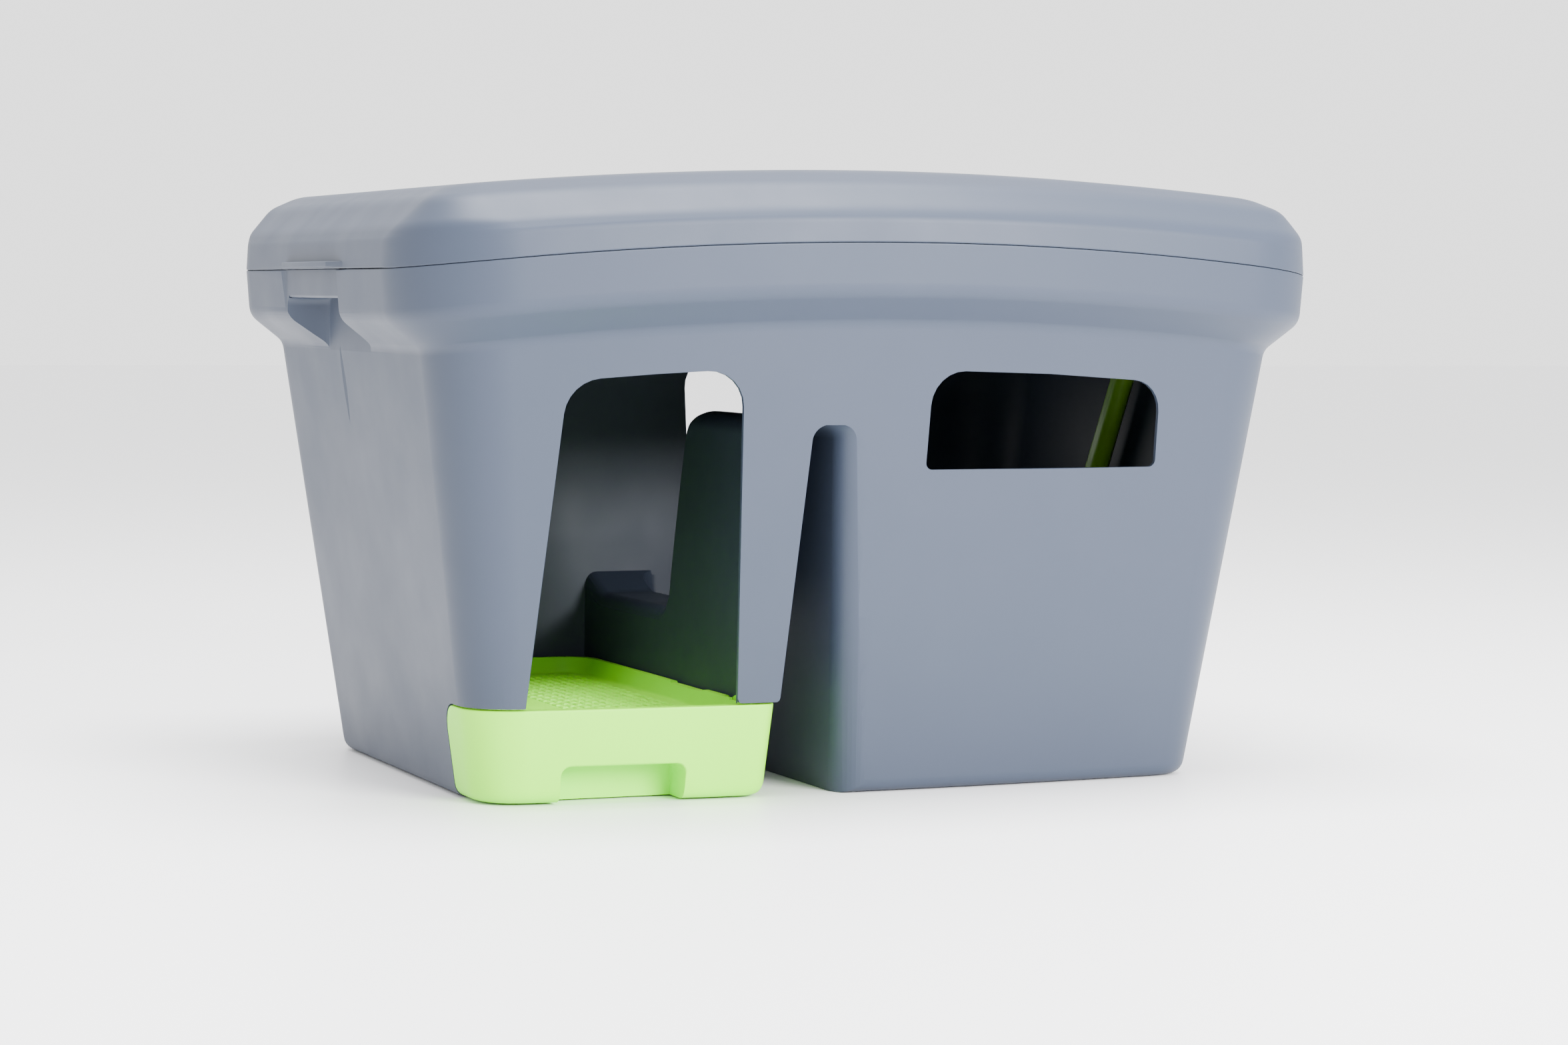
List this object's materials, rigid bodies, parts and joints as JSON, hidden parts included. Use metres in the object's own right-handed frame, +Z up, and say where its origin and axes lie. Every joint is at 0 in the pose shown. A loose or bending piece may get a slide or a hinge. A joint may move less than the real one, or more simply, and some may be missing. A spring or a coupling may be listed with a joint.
{
  "type": "covered cat litter box",
  "caption": "Covered cat litter box: a two-legged tub with a side entry over a pull-out litter drawer, a rear passage to the litter chamber, and a lift-off lid.",
  "frame": {"origin": "centre of the base, on the surface the box stands on", "axes": "+X along the length towards the litter chamber, -Y the front with the entry and drawer, +Z up"},
  "size_m": [0.714, 0.547, 0.4409],
  "materials": {
    "grey_plastic": "satin moulded polypropylene, blue-grey",
    "lime_plastic": "satin moulded polypropylene, lime",
    "green_plastic": "satin moulded polypropylene, green"
  },
  "bodies": {
    "tub": {"tub": "grey_plastic"},
    "lid": {"lid": "grey_plastic"},
    "drawer": {"drawer": "lime_plastic"},
    "grid": {"grid": "lime_plastic"},
    "scoop": {"scoop": "green_plastic"}
  },
  "joints": [
    {"name": "lid_lift", "type": "slide", "parent": "tub", "child": "lid", "axis": [0, 0, 1], "range_m": [0, 0.06]},
    {"name": "drawer_slide", "type": "slide", "parent": "tub", "child": "drawer", "axis": [0, -1, 0], "range_m": [0, 0.43]},
    {"name": "grid_lift", "type": "slide", "parent": "drawer", "child": "grid", "axis": [0, 0, 1], "range_m": [0, 0.02]},
    {"name": "scoop_unhook", "type": "slide", "parent": "tub", "child": "scoop", "axis": [-1, 0, 0], "range_m": [0, 0.035]}
  ]
}
